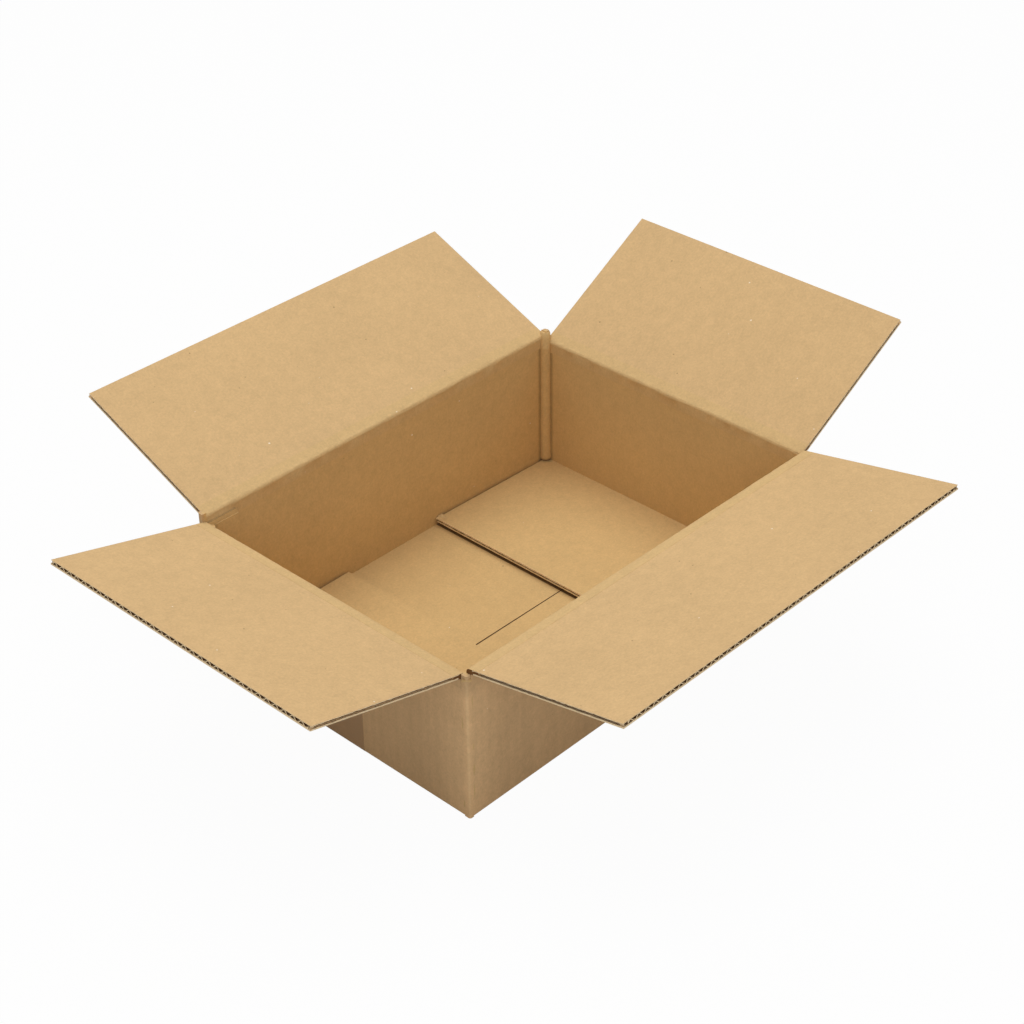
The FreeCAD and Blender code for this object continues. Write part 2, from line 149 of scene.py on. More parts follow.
class Graph:
    """The node graph of one material."""

    def __init__(self, name: str) -> None:
        """Start an empty material.

        Args:
            name: the material's name.
        """
        self.material = bpy.data.materials.new(name)
        self.material.use_nodes = True
        self.tree = self.material.node_tree
        self.tree.nodes.clear()

    def node(self, kind: str, settings: Dict[str, Any], values: Dict[Any, Any], output: Any = 0) -> Field:
        """Add one node.

        Args:
            kind: the node's type.
            settings: properties that are set before the sockets.
            values: numbers, colours or fields for the sockets, by name or index.
            output: the output socket to give back, by name or index.

        Returns:
            The output as a field.
        """
        made = self.tree.nodes.new(kind)
        for key, value in settings.items():
            setattr(made, key, value)
        for key, value in values.items():
            self.feed(made.inputs[key], value)
        return Field(self, made.outputs[output] if made.outputs else None)

    def feed(self, socket: Any, value: Any) -> None:
        """Link a field to a socket, or set the socket's own value."""
        if isinstance(value, Field):
            self.tree.links.new(value.socket, socket)
        elif isinstance(value, tuple) and len(value) == 3 and socket.type == "RGBA":
            socket.default_value = (*value, 1.0)
        else:
            socket.default_value = value

    def place(self) -> Field:
        """The point on the surface, in the model's frame."""
        return self.node("ShaderNodeTexCoord", {}, {}, "Object")

    def placed(self, place: Field, origin: Vector, turn: Matrix) -> Field:
        """The point in a frame of its own.

        Args:
            place: the point in the model's frame.
            origin: the frame's origin.
            turn: the frame's rotation.

        Returns:
            The point in that frame.
        """
        values = {"Vector": place, "Location": tuple(origin), "Rotation": tuple(turn.to_euler())}
        return self.node("ShaderNodeMapping", {"vector_type": "TEXTURE"}, values)

    def stretched(self, place: Field, scale: Tuple[float, float, float]) -> Field:
        """The point scaled along each axis."""
        return self.node("ShaderNodeMapping", {"vector_type": "POINT"}, {"Vector": place, "Scale": scale})

    def parts(self, place: Field) -> List[Field]:
        """The point's three coordinates."""
        split = self.node("ShaderNodeSeparateXYZ", {}, {"Vector": place})
        return [Field(self, socket) for socket in split.socket.node.outputs]

    def facing(self) -> List[Field]:
        """The surface normal's three coordinates."""
        return self.parts(self.node("ShaderNodeNewGeometry", {}, {}, "Normal"))

    def noise(self, place: Field, size: float, detail: float = 2.0, rough: float = 0.5) -> Field:
        """Soft noise about 0.

        Args:
            place: where it is read.
            size: the size of its patches, in metres.
            detail: how many finer layers.
            rough: how strong they are.

        Returns:
            The noise, from about -0.5 to 0.5.
        """
        values = {"Vector": place, "Scale": 1 / size, "Detail": detail, "Roughness": rough}
        return self.node("ShaderNodeTexNoise", {}, values, "Fac") - 0.5

    def flecks(self, place: Field, spacing: float, size: float, share: float) -> Field:
        """Small scattered flecks.

        Args:
            place: where they are read.
            spacing: the size of the cells that may hold one.
            size: a fleck's largest radius.
            share: the share of cells with a fleck.

        Returns:
            1 in a fleck and 0 outside.
        """
        values = {"Vector": place, "Scale": 1 / spacing, "Randomness": 1.0}
        cells = self.node("ShaderNodeTexVoronoi", {"feature": "F1"}, values, "Distance")
        lots = Field(self, cells.socket.node.outputs["Color"])
        chance = self.node("ShaderNodeSeparateColor", {}, {"Color": lots})
        grown = (chance - (1 - share)) * (size / spacing / share)
        return (grown - cells).ease(0.0, 0.25 * size / spacing)

    def mix(self, factor: Any, first: Any, second: Any) -> Field:
        """Blend two colours.

        Args:
            factor: 0 for the first, 1 for the second.
            first: a colour or a field.
            second: a colour or a field.

        Returns:
            The blended colour.
        """
        made = self.tree.nodes.new("ShaderNodeMix")
        made.data_type = "RGBA"
        self.feed(made.inputs[0], factor)
        self.feed(made.inputs[6], first)
        self.feed(made.inputs[7], second)
        return Field(self, made.outputs[2])

    def tinted(self, colour: Any, tone: Field) -> Field:
        """A colour made lighter or darker by a tone near 1."""
        made = self.tree.nodes.new("ShaderNodeVectorMath")
        made.operation = "SCALE"
        self.feed(made.inputs[0], colour)
        self.feed(made.inputs["Scale"], tone)
        return Field(self, made.outputs[0])

    def finish(self, colour: Any, roughness: Any, height: Optional[Field], depth: float, **fixed: float) -> Any:
        """End the graph in a Principled shader.

        Args:
            colour: the base colour.
            roughness: the roughness.
            height: the relief, in units of depth, or None.
            depth: the relief's scale in metres.
            fixed: other sockets that are the same all over, with _ for a space.

        Returns:
            The finished material.
        """
        values: Dict[Any, Any] = {"Base Color": colour, "Roughness": roughness}
        values.update({key.replace("_", " "): value for key, value in fixed.items()})
        if height is not None:
            relief = {"Height": height, "Distance": depth, "Strength": 1.0}
            values["Normal"] = self.node("ShaderNodeBump", {}, relief)
        shader = self.node("ShaderNodeBsdfPrincipled", {}, values)
        self.node("ShaderNodeOutputMaterial", {}, {"Surface": shader})
        return self.material

    def node_end(self, shader: Field) -> Any:
        """End the graph in any shader."""
        self.node("ShaderNodeOutputMaterial", {}, {"Surface": shader})
        return self.material


class Corner(Enum):
    """An upright fold: the signs of x and y, the hinge of the short flap beside it, and a seed."""

    RIGHT_BACK = (1, 1, "right_flap_hinge", 0)
    LEFT_BACK = (-1, 1, "left_flap_hinge", 1)
    RIGHT_FRONT = (1, -1, "right_flap_hinge", 2)
    LEFT_FRONT = (-1, -1, "left_flap_hinge", 3)


@dataclass(frozen=True)
class Kraft:
    """Kraft liner: the colour, its clouds, fibres and flecks, and the relief of the flutes below it."""

    inside: Colour = linear(214, 180, 131)
    outside: Colour = linear(206, 172, 128)
    inner_wall: Colour = linear(214, 180, 125)
    bent: Colour = linear(213, 180, 128)
    # painted shade for the glue tab's upward bevel, darker so that it reads like the wall
    painted_tab_shade: Colour = linear(172, 143, 98)
    fibre: Colour = linear(120, 82, 44)
    chalk: Colour = linear(250, 240, 220)
    raw: Colour = linear(240, 214, 172)
    medium: Colour = linear(118, 80, 42)
    shade: Colour = linear(62, 38, 17)
    flute_pitch: float = 6.5 * MM
    relief: float = 0.03 * MM
    roughness: float = 0.86
    sheen: float = 0.25
    cloud_depth: float = 0.12
    patch_depth: float = 0.2
    grain_depth: float = 0.36
    fibre_depth: float = 0.1
    fleck_depth: float = 0.8
    fine_relief: float = 1.1
    dent_relief: float = 1.4
    flute_relief: float = 0.8
    flute_mean: float = 0.75

    def paper(self, graph: Graph, place: Field, colour: Any, specks: float = 0.5) -> Field:
        """The liner's colour with clouds, fibres, dark specks and light flecks.

        Args:
            graph: the material's graph.
            place: the point.
            colour: the plain colour.
            specks: the strength of the dark specks.

        Returns:
            The colour.
        """
        clouds = graph.noise(place, size=60 * MM, detail=2.0) * self.cloud_depth
        patches = graph.noise(place, size=7 * MM, detail=3.0, rough=0.6) * self.patch_depth
        grain = graph.noise(place, size=1.5 * MM, detail=3.0, rough=0.7) * self.grain_depth
        lengthwise = graph.stretched(place, (1.0, 1.0, 0.3))
        fibres = graph.noise(lengthwise, size=0.8 * MM, detail=1.0) * self.fibre_depth
        paper = graph.tinted(colour, clouds + patches + grain + fibres + 1.0)
        dark = graph.flecks(place, spacing=9 * MM, size=0.7 * MM, share=0.4) * specks
        paper = graph.mix(dark, paper, self.fibre)
        scattered = graph.stretched(place, (1.0, 1.2, 0.9))
        light = graph.flecks(scattered, spacing=11 * MM, size=0.75 * MM, share=0.45) * self.fleck_depth
        return graph.mix(light, paper, self.chalk)

    def grainy(self, graph: Graph, place: Field, along: Field) -> Field:
        """The relief of the liner: fibres, small dents and the flutes that show through.

        Args:
            graph: the material's graph.
            place: the point.
            along: the distance across the flutes.

        Returns:
            The height, in units of the relief.
        """
        fine = graph.noise(place, size=0.8 * MM, detail=3.0, rough=0.7) * self.fine_relief
        dents = graph.noise(place, size=5 * MM, detail=2.0) * self.dent_relief
        strength = graph.noise(place, size=35 * MM, detail=1.0) + self.flute_mean
        return fine + dents + along.wave(self.flute_pitch) * strength * self.flute_relief


@dataclass(frozen=True)
class Liner:
    """Plain kraft liner in one colour, for the paper that bends, rolls and frays."""

    kraft: Kraft
    name: str
    colour: Colour
    ragged: float = 0.0
    foot: float = 0.0
    foot_fade: float = 3 * MM
    foot_dark: float = 0.85
    specks: float = 0.15

    def build(self) -> Any:
        """Make the material.

        Returns:
            The material.
        """
        graph = Graph(self.name)
        place = graph.place()
        x, y, z = graph.parts(place)
        paper = self.kraft.paper(graph, place, self.colour, self.specks)
        if self.foot:
            shadow = (1 - z.ease(self.foot, self.foot + self.foot_fade)) * self.foot_dark
            paper = graph.mix(shadow, paper, self.kraft.shade)
        wear_and_highlight = graph.noise(place, size=1.1 * MM, detail=3.0, rough=0.7).ease(0.02, 0.3) * self.ragged
        paper = graph.mix(wear_and_highlight, paper, self.kraft.chalk)
        height = self.kraft.grainy(graph, place, x + y)
        return graph.finish(paper, self.kraft.roughness, height, self.kraft.relief, Specular_IOR_Level=self.kraft.sheen)


@dataclass(frozen=True)
class FlapBoard:
    """The finish of a flap, which follows the flap's own frame."""

    kraft: Kraft
    name: str
    origin: Vector
    turn: Matrix
    outer_face: float
    inner_face: float
    free_edge: float
    crushed: float = 7.5 * MM
    liner: float = 0.35 * MM
    face_cover: float = 0.05 * MM
    edge_cover: float = 0.15 * MM
    inner_liners: float = 0.9
    outer_liners: float = 2.4

    def build(self) -> Any:
        """Make the material.

        Returns:
            The material.
        """
        graph = Graph(self.name)
        place = graph.place()
        across, out, up = graph.parts(graph.placed(place, self.origin, self.turn))
        outer_half = out.above((self.outer_face + self.inner_face) / 2)
        colour = graph.mix(outer_half, self.kraft.inside, self.kraft.outside)
        paper = self.kraft.paper(graph, place, colour)
        within = out.above(self.inner_face + self.face_cover) * out.below(self.outer_face - self.face_cover)
        core = out.above(self.inner_face + self.liner * self.inner_liners) * up.above(self.crushed)
        core = core * out.below(self.outer_face - self.liner * self.outer_liners)
        hollow = core * up.below(self.free_edge - self.edge_cover)
        cut = graph.tinted(self.kraft.raw, graph.noise(place, 0.5 * MM, 2.0) * 0.5 + 1.0)
        paper = graph.mix(within * up.above(self.crushed), paper, cut)
        inner = graph.tinted(self.kraft.medium, graph.noise(place, 1.5 * MM, 2.0) * 0.3 + 1.0)
        paper = graph.mix(hollow * within, paper, inner)
        height = self.kraft.grainy(graph, place, across)
        return graph.finish(paper, self.kraft.roughness, height, self.kraft.relief, Specular_IOR_Level=self.kraft.sheen)


@dataclass(frozen=True)
class BodyBoard:
    """The finish of the walls and the bottom."""

    kraft: Kraft
    half_length: float
    half_width: float
    board: float
    seam: float = -4.0 * MM
    seam_top: float = 3.3 * MM
    bottom_edge: float = 40.0 * MM
    right_edge: float = 5.9 * MM
    ridge_inset: float = 4.0 * MM
    ridge_radius: float = 3.8 * MM
    crease_width: float = 3.2 * MM
    crease_dark: float = 0.38
    seam_half: float = 0.48 * MM
    seam_taper: float = 0.0022
    seam_dark: float = 0.8
    flute_shade_depth: float = 0.85
    flap_shadow_depth: float = 0.7
    # strengths and heights of the painted highlight along the outer corners
    broad_highlight: float = 0.2
    thin_highlight: float = 0.09
    highlight_fades: float = 82 * MM
    highlight_ends: float = 95 * MM

    def build(self) -> Any:
        """Make the material.

        Returns:
            The material.
        """
        graph = Graph("kraft_board_body")
        place = graph.place()
        x, y, z = graph.parts(place)
        normal_x = graph.facing()[0]
        past_end = abs(x).above(self.half_length - self.board / 2)
        outside = past_end.most(abs(y).above(self.half_width - self.board / 2))
        colour = graph.mix(outside, self.kraft.inner_wall, self.kraft.outside)
        paper = self.kraft.paper(graph, place, colour)
        bands = graph.noise(graph.stretched(place, (1.0, 1.0, 0.04)), 10 * MM, 1.0) * 0.16
        # stripes at the flute pitch: painted shading of the washboard ripples
        washboard_shade = (x + y).wave(self.kraft.flute_pitch) * 0.012
        # lighter near the outer corner and towards the bottom of the outside walls: painted highlight on the rounded
        # arris
        from_arris = self.half_length - abs(x) + self.half_width - abs(y)
        broad = (1 - from_arris.ease(1.0 * MM, 34.0 * MM)) * self.broad_highlight
        thin = (1 - from_arris.ease(1.0 * MM, 7.0 * MM)) * self.thin_highlight
        wear_and_highlight = (broad + thin) * (graph.noise(place, size=12 * MM, detail=2.0) * 0.6 + 1.0)
        wear_and_highlight = wear_and_highlight * (1 - z.ease(self.highlight_fades, self.highlight_ends))
        paper = graph.tinted(paper, (bands + washboard_shade + wear_and_highlight) * outside + 1.0)
        seam = (abs(y - self.seam) + x * self.seam_taper).below(self.seam_half) * z.below(self.seam_top)
        paper = graph.mix(seam * self.seam_dark, paper, self.kraft.shade)
        within = abs(y).below(self.half_width - self.board - 0.5 * MM)
        lift = z - self.right_edge
        beside = abs(x - self.bottom_edge)
        cut = beside.below(0.08 * MM) * within * lift.above(0.0)
        paper = graph.mix(cut, paper, self.kraft.raw)
        # the open flutes in the raised edge's core are painted shade
        flutes = beside.below(8.5 * MM) * lift.above(0.45 * MM) * lift.below(2.45 * MM)
        paper = graph.mix(flutes * within * self.flute_shade_depth, paper, self.kraft.shade)
        # painted shadow on the lower bottom flap beneath the raised free edge of the upper one
        flap_shadow = x.above(self.bottom_edge + 0.3 * MM) * z.below(self.seam_top)
        flap_shadow = flap_shadow * x.below(self.half_length - self.board)
        paper = graph.mix(flap_shadow * self.flap_shadow_depth, paper, self.kraft.shade)
        # painted shade in the soft grooves on both sides of each corner ridge, inside the box
        from_ridge_x = self.half_length - self.ridge_inset - abs(x)
        from_ridge_y = self.half_width - self.ridge_inset - abs(y)
        from_ridge = from_ridge_x * from_ridge_x + from_ridge_y * from_ridge_y
        near, far = self.ridge_radius ** 2, (self.ridge_radius + self.crease_width) ** 2
        crease = (1 - from_ridge.ease(near, far)) * from_ridge.above(near)
        crease = crease * (1 - outside) * z.above(self.seam_top)
        paper = graph.tinted(paper, 1 - crease * self.crease_dark)
        side_on = abs(normal_x).above(0.7)
        along = side_on * y + (1 - side_on) * x
        height = self.kraft.grainy(graph, place, along)
        return graph.finish(paper, self.kraft.roughness, height, self.kraft.relief, Specular_IOR_Level=self.kraft.sheen)


@dataclass(frozen=True)
class TapeFilm:
    """Clear brown packing tape on kraft board."""

    colour: Colour = linear(176, 142, 103)
    roughness: float = 0.42

    def build(self) -> Any:
        """Make the material.

        Returns:
            The material.
        """
        graph = Graph("tape_film")
        place = graph.place()
        tone = graph.noise(place, 12 * MM, 3.0) * 0.08 + graph.noise(place, 1.2 * MM, 2.0) * 0.05 + 1.0
        wrinkles = graph.noise(graph.stretched(place, (1.0, 0.25, 1.0)), 3 * MM, 2.0)
        gloss = graph.noise(place, 6 * MM, 2.0) * 0.2 + self.roughness
        return graph.finish(graph.tinted(self.colour, tone), gloss, wrinkles, 0.05 * MM)


def deselect() -> None:
    """Leave nothing selected, in object mode."""
    if bpy.context.object is not None and bpy.context.object.mode != "OBJECT":
        bpy.ops.object.mode_set(mode="OBJECT")
    bpy.ops.object.select_all(action="DESELECT")


def pick(piece: Any, wanted: Any) -> None:
    """Select the vertices of a mesh in edit mode for which wanted(point) is true.

    Args:
        piece: the object.
        wanted: a test on a vertex's place.
    """
    bpy.ops.object.mode_set(mode="OBJECT")
    bpy.context.tool_settings.mesh_select_mode = (True, False, False)
    for polygon in piece.data.polygons:
        polygon.select = False
    for edge in piece.data.edges:
        edge.select = all(wanted(piece.data.vertices[i].co) for i in edge.vertices)
    for vertex in piece.data.vertices:
        vertex.select = bool(wanted(vertex.co))
    bpy.ops.object.mode_set(mode="EDIT")


def pick_edges(piece: Any, wanted: Any) -> None:
    """Select the edges of a mesh in edit mode for which wanted(end, other end) is true.

    Args:
        piece: the object.
        wanted: a test on the places of an edge's ends.
    """
    bpy.ops.object.mode_set(mode="OBJECT")
    bpy.context.tool_settings.mesh_select_mode = (False, True, False)
    for vertex in piece.data.vertices:
        vertex.select = False
    for polygon in piece.data.polygons:
        polygon.select = False
    for edge in piece.data.edges:
        ends = [piece.data.vertices[i].co for i in edge.vertices]
        edge.select = bool(wanted(*ends))
    bpy.ops.object.mode_set(mode="EDIT")


def face_outward() -> None:
    """Turn every face of the mesh in edit mode outward."""
    bpy.ops.mesh.select_all(action="SELECT")
    bpy.ops.mesh.normals_make_consistent(inside=False)


def thicken(piece: Any, paper: float) -> None:
    """Give a sheet its paper's thickness, half of it on each side."""
    thick = piece.modifiers.new("paper", "SOLIDIFY")
    thick.thickness = paper
    thick.offset = 0.0
    bpy.ops.object.modifier_apply(modifier=thick.name)


def settle(piece: Any, turn: Matrix, origin: Vector) -> None:
    """Put a finished mesh where it belongs and leave its object at the origin.

    Args:
        piece: the object.
        turn: its rotation.
        origin: its place.
    """
    piece.matrix_world = Matrix.Translation(origin) @ turn.to_4x4()
    bpy.ops.object.select_all(action="DESELECT")
    piece.select_set(True)
    bpy.context.view_layer.objects.active = piece
    bpy.ops.object.transform_apply(location=True, rotation=True, scale=True)


def place_corner(piece: Any, side_x: int, side_y: int) -> None:
    """Mirror a piece from the corner at +x +y to another corner.

    Args:
        piece: the piece, modelled at +x +y.
        side_x: 1, or -1 to mirror it to the other end.
        side_y: 1, or -1 to mirror it to the other side.
    """
    settle(piece, Matrix.Diagonal((side_x, side_y, 1.0)), Vector((0.0, 0.0, 0.0)))
    if side_x * side_y < 0:
        bpy.ops.object.mode_set(mode="EDIT")
        face_outward()
        bpy.ops.object.mode_set(mode="OBJECT")


@dataclass
class Fold:
    """The board that bends between a wall and its flap: the score's roll inside and its groove outside."""

    flap: str
    lid: str
    pivot: Vector
    yaw: float
    angle: float
    length: float
    board: float
    inset: float
    skin: float = 0.11 * MM
    reach: float = 6.5 * MM
    lead: float = 0.3 * MM
    bend_end: float = 1.7 * MM
    groove: float = 0.6 * MM
    end_cover: float = 0.1 * MM
    steps: int = 8
    columns: int = 90
    ripple: float = 0.13 * MM
    seed: int = 3

    def turn(self) -> Matrix:
        """The wall's frame: x along the score, y outward, z up."""
        return Matrix.Rotation(self.yaw, 3, "Z")

    def lean(self) -> Matrix:
        """The flap's frame at rest: the wall's frame leaned outward."""
        return self.turn() @ Matrix.Rotation(-self.angle, 3, "X")

    def strip(self, name: str, start: Vector, centre: Vector, material: Any) -> Any:
        """Model one face of the fold: up the wall, round the score and along the flap.

        Args:
            name: the strip's name.
            start: the middle of the line at which the wall's face starts to bend.
            centre: the middle of the line that it bends about.
            material: its finish.

        Returns:
            The strip.
        """
        deselect()
        upright = (math.pi / 2, 0.0, 0.0)
        low = (0.0, start.y, start.z - (self.reach + self.lead) / 2)
        bpy.ops.mesh.primitive_plane_add(size=1.0, location=low, rotation=upright)
        piece = bpy.context.object
        piece.name = name
        piece.data.materials.append(material)
        bpy.ops.object.transform_apply(location=False, rotation=True, scale=False)
        bpy.ops.object.mode_set(mode="EDIT")
        bpy.ops.transform.resize(value=(self.length + self.end_cover * 2, 1.0, self.reach - self.lead))
        bpy.ops.object.mode_set(mode="OBJECT")
        bpy.ops.object.transform_apply(location=True, rotation=False, scale=False)
        pick_edges(piece, lambda end, other: abs(end.x - other.x) > self.length / 2)
        bpy.ops.mesh.subdivide(number_cuts=self.columns)
        pick(piece, lambda point: point.z > start.z - self.reach / 2)
        bpy.ops.mesh.extrude_edges_move(TRANSFORM_OT_translate={"value": (0.0, 0.0, self.lead)})
        bpy.ops.mesh.spin(steps=self.steps, angle=self.angle, center=centre, axis=(1.0, 0.0, 0.0))
        onward = Vector((0.0, math.sin(self.angle), math.cos(self.angle)))
        for run in (self.lead, self.bend_end, self.reach - self.lead - self.bend_end):
            bpy.ops.mesh.extrude_edges_move(TRANSFORM_OT_translate={"value": onward * run})
        bpy.ops.object.mode_set(mode="OBJECT")
        return piece

    def build(self, inner_paper: Any, outer_paper: Any, cut_end: Any) -> Any:
        """Model the fold between the box and the flap.

        Args:
            inner_paper: the finish inside.
            outer_paper: the finish outside.
            cut_end: the finish of its two ends.

        Returns:
            The piece, in the model's frame.
        """
        inside = Vector((0.0, self.inset - self.board - self.skin, 0.0))
        centre = Vector((0.0, 0.0, 0.0))
        out = self.inset + self.skin
        low = -(out + self.groove) * math.tan(self.angle / 2)
        inner = self.strip(self.flap + "_fold", inside, centre, inner_paper)
        groove = Vector((0.0, out + self.groove, low))
        outer = self.strip(self.flap + "_groove", Vector((0.0, out, low)), groove, outer_paper)
        deselect()
        outer.select_set(True)
        inner.select_set(True)
        bpy.context.view_layer.objects.active = inner
        bpy.ops.object.join()
        bpy.ops.object.mode_set(mode="EDIT")
        bpy.ops.mesh.select_all(action="DESELECT")
        bpy.ops.mesh.select_mode(type="EDGE")
        bpy.ops.mesh.select_non_manifold()
        bpy.ops.mesh.bridge_edge_loops()
        bpy.ops.mesh.select_all(action="SELECT")
        bpy.ops.mesh.remove_doubles(threshold=1e-6)
        bpy.ops.mesh.normals_make_consistent(inside=False)
        bpy.ops.mesh.select_mode(type="VERT")
        near = self.board - self.inset + self.skin * 2
        pick(inner, lambda point: point.yz.length < near * 1.02 and abs(point.x) < self.length / 2)
        bpy.ops.transform.vertex_random(offset=self.ripple, uniform=1.0, normal=0.0, seed=self.seed)
        bpy.ops.object.mode_set(mode="OBJECT")
        inner.data.materials.append(cut_end)
        for polygon in inner.data.polygons:
            if abs(polygon.normal.x) > 0.9:
                polygon.material_index = 2
        bpy.ops.object.shade_smooth_by_angle(angle=math.radians(50))
        settle(inner, self.turn(), self.pivot)
        end = Matrix.Rotation(-self.angle, 3, "X") @ inside
        first = self.pivot + self.turn() @ inside
        last = self.pivot + self.turn() @ end
        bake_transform(inner)
        return inner


@dataclass
class Lip:
    """A ragged strip of liner along a cut edge, modelled upright in a frame of its own."""

    x: float
    near: float
    far: float
    bottom: float
    top: float
    seed: int
    cuts: int = 70
    ragged: float = 0.22 * MM
    paper: float = 0.08 * MM

    def build(self) -> Any:
        """Model the strip.

        Returns:
            The strip.
        """
        deselect()
        length = self.top - self.bottom
        middle = (self.x, (self.near + self.far) / 2, self.bottom + length / 2)
        bpy.ops.mesh.primitive_plane_add(size=1.0, location=middle, rotation=(0.0, math.pi / 2, 0.0))
        piece = bpy.context.object
        bpy.ops.object.transform_apply(location=True, rotation=True, scale=False)
        bpy.ops.object.mode_set(mode="EDIT")
        bpy.ops.transform.resize(value=(1.0, abs(self.far - self.near), length), center_override=middle)
        pick_edges(piece, lambda end, other: abs(end.z - other.z) > length / 2)
        bpy.ops.mesh.subdivide(number_cuts=self.cuts)
        pick(piece, lambda point: abs(point.y - self.far) < abs(point.y - self.near))
        bpy.ops.transform.vertex_random(offset=self.ragged, uniform=0.0, normal=0.0, seed=self.seed)
        bpy.ops.object.mode_set(mode="OBJECT")
        thicken(piece, self.paper)
        return piece


def lips(name: str, strips: Sequence[Lip], material: Any, turn: Matrix, origin: Vector, body: str) -> Any:
    """Join some ragged strips into one piece.

    Args:
        name: the piece's name.
        strips: the strips.
        material: their finish.
        turn: the rotation of their frame.
        origin: the origin of their frame.
        body: the body that carries them.

    Returns:
        The piece.
    """
    made = [strip.build() for strip in strips]
    deselect()
    for strip in made:
        strip.select_set(True)
    bpy.context.view_layer.objects.active = made[0]
    bpy.ops.object.join()
    piece = bpy.context.object
    piece.name = name
    piece.data.materials.append(material)
    settle(piece, turn, origin)
    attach(piece, body)
    return piece


def flap_lips(fold: Fold, depth: float, material: Any) -> List[Any]:
    """The frayed liners along the cut edges of a flap, with the crushed board at its two free corners.

    Args:
        fold: the flap's fold.
        depth: from the crease to the free edge.
        material: the finish.

    Returns:
        The pieces for the side edges and for the free edge.
    """
    root, outer, inner = 2.4 * MM, fold.inset, fold.inset - fold.board
    half = fold.length / 2
    proud, wide, narrow, free_width = 0.15 * MM, 0.95 * MM, 0.45 * MM, 0.85 * MM
    plug_inset, plug_cover, plug_depth, plug_end = 0.7 * MM, 0.2 * MM, 3 * MM, 0.1 * MM
    sides = []
    for side in (-1, 1):
        x = side * (half + proud)
        sides.append(Lip(x, outer, outer - wide, root, depth, fold.seed * 5 + side + 1))
        sides.append(Lip(x, inner, inner + narrow, root, depth, fold.seed * 7 + side + 1))
        near, far = outer - plug_cover, inner + plug_cover
        low, high = depth - plug_depth, depth - plug_end
        x = side * (half - plug_inset)
        sides.append(Lip(x, near, far, low, high, fold.seed, cuts=2, ragged=0.05 * MM))
    free = [Lip(depth, outer, outer - free_width, -half, half, fold.seed + 31, cuts=120, ragged=0.18 * MM)]
    along = Matrix(((0.0, 0.0, -1.0), (0.0, 1.0, 0.0), (1.0, 0.0, 0.0)))
    return [
        lips(fold.flap + "_frayed_sides", sides, material, fold.lean(), fold.pivot, fold.lid),
        lips(fold.flap + "_frayed_end", free, material, fold.lean() @ along, fold.pivot, fold.lid),
    ]


def bottom_lips(board: BodyBoard, material: Any) -> Any:
    """The crushed liners along the free edge of the upper bottom flap.

    Args:
        board: the box's measures.
        material: the finish.

    Returns:
        The piece.
    """
    side_gap, proud, ragged = 1.4 * MM, 0.05 * MM, 0.16 * MM
    end = board.half_width - board.board - side_gap
    low = board.right_edge
    strips = [
        Lip(proud, low + 2.98 * MM, low + 1.85 * MM, -end, end, 11, ragged=ragged),
        Lip(proud, low + 0.05 * MM, low + 1.05 * MM, -end, end, 12, ragged=ragged),
    ]
    turn = Matrix(((-1.0, 0.0, 0.0), (0.0, 0.0, 1.0), (0.0, 1.0, 0.0)))
    return lips("right_bottom_flap_edge", strips, material, turn, Vector((board.bottom_edge, 0.0, 0.0)), "box")


def rolled(name: str, x: float, y: float, bottom: float, radius: float, sides: int,
           sections: Sequence[Tuple[float, float, float]]) -> Tuple[Any, float]:
    """Model an upright roll, section by section, and leave its top face selected in edit mode.

    Args:
        name: the piece's name.
        x: the middle of its foot.
        y: the middle of its foot.
        bottom: the height of its foot.
        radius: the radius of its foot.
        sides: its sides.
        sections: for each section its height in mm, its width as a share of the foot's, and how far
            it leans to the corner, in mm along each axis.

    Returns:
        The piece and the height of its top.
    """
    deselect()
    bpy.ops.mesh.primitive_circle_add(vertices=sides, radius=radius, location=(x, y, bottom), fill_type="NGON")
    piece = bpy.context.object
    piece.name = name
    bpy.ops.object.transform_apply(location=True, rotation=False, scale=False)
    height, width, lean = bottom, 1.0, 0.0
    for level, share, outward in sections:
        pick(piece, lambda point: point.z > height - 1e-6)
        rise = (outward * MM - lean, outward * MM - lean, level * MM - height)
        bpy.ops.mesh.extrude_region_move(TRANSFORM_OT_translate={"value": rise})
        centre = (x + outward * MM, y + outward * MM, level * MM)
        bpy.ops.transform.resize(value=(share / width, share / width, 1.0), center_override=centre)
        height, width, lean = level * MM, share, outward * MM
    return piece, height


@dataclass
class Ridge:
    """The crushed board that rolls inward along an upright fold, from the bottom to below the flaps."""

    corner: Corner
    half_length: float
    half_width: float
    inset: float = 4.0 * MM
    radius: float = 3.95 * MM
    bottom: float = 5.6 * MM
    sides: int = 20
    ripple: float = 0.12 * MM
    sections: Tuple[Tuple[float, float, float], ...] = (
        (9.0, 1.04, -0.1), (14.0, 1.0, 0.0), (20.0, 1.02, 0.0), (27.0, 0.99, 0.0), (34.0, 1.03, 0.0),
        (42.0, 1.0, 0.0), (50.0, 1.02, 0.0), (58.0, 0.99, 0.0), (66.0, 1.02, 0.0), (74.0, 1.0, 0.0),
        (82.0, 1.02, 0.0), (89.0, 1.0, 0.0), (94.7, 1.0, 0.0),
    )

    def build(self) -> Any:
        """Model the ridge.

        Returns:
            The piece, in the model's frame.
        """
        side_x, side_y, _, _ = self.corner.value
        name = self.corner.name.lower() + "_ridge"
        piece, height = rolled(name, self.half_length - self.inset, self.half_width - self.inset,
                               self.bottom, self.radius, self.sides, self.sections)
        face_outward()
        pick(piece, lambda point: self.bottom + MM < point.z < height - MM)
        bpy.ops.transform.vertex_random(offset=self.ripple, uniform=0.4, normal=0.0, seed=5)
        bpy.ops.object.mode_set(mode="OBJECT")
        bpy.ops.object.shade_smooth_by_angle(angle=math.radians(60))
        place_corner(piece, side_x, side_y)
        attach(piece, "box")
        return piece


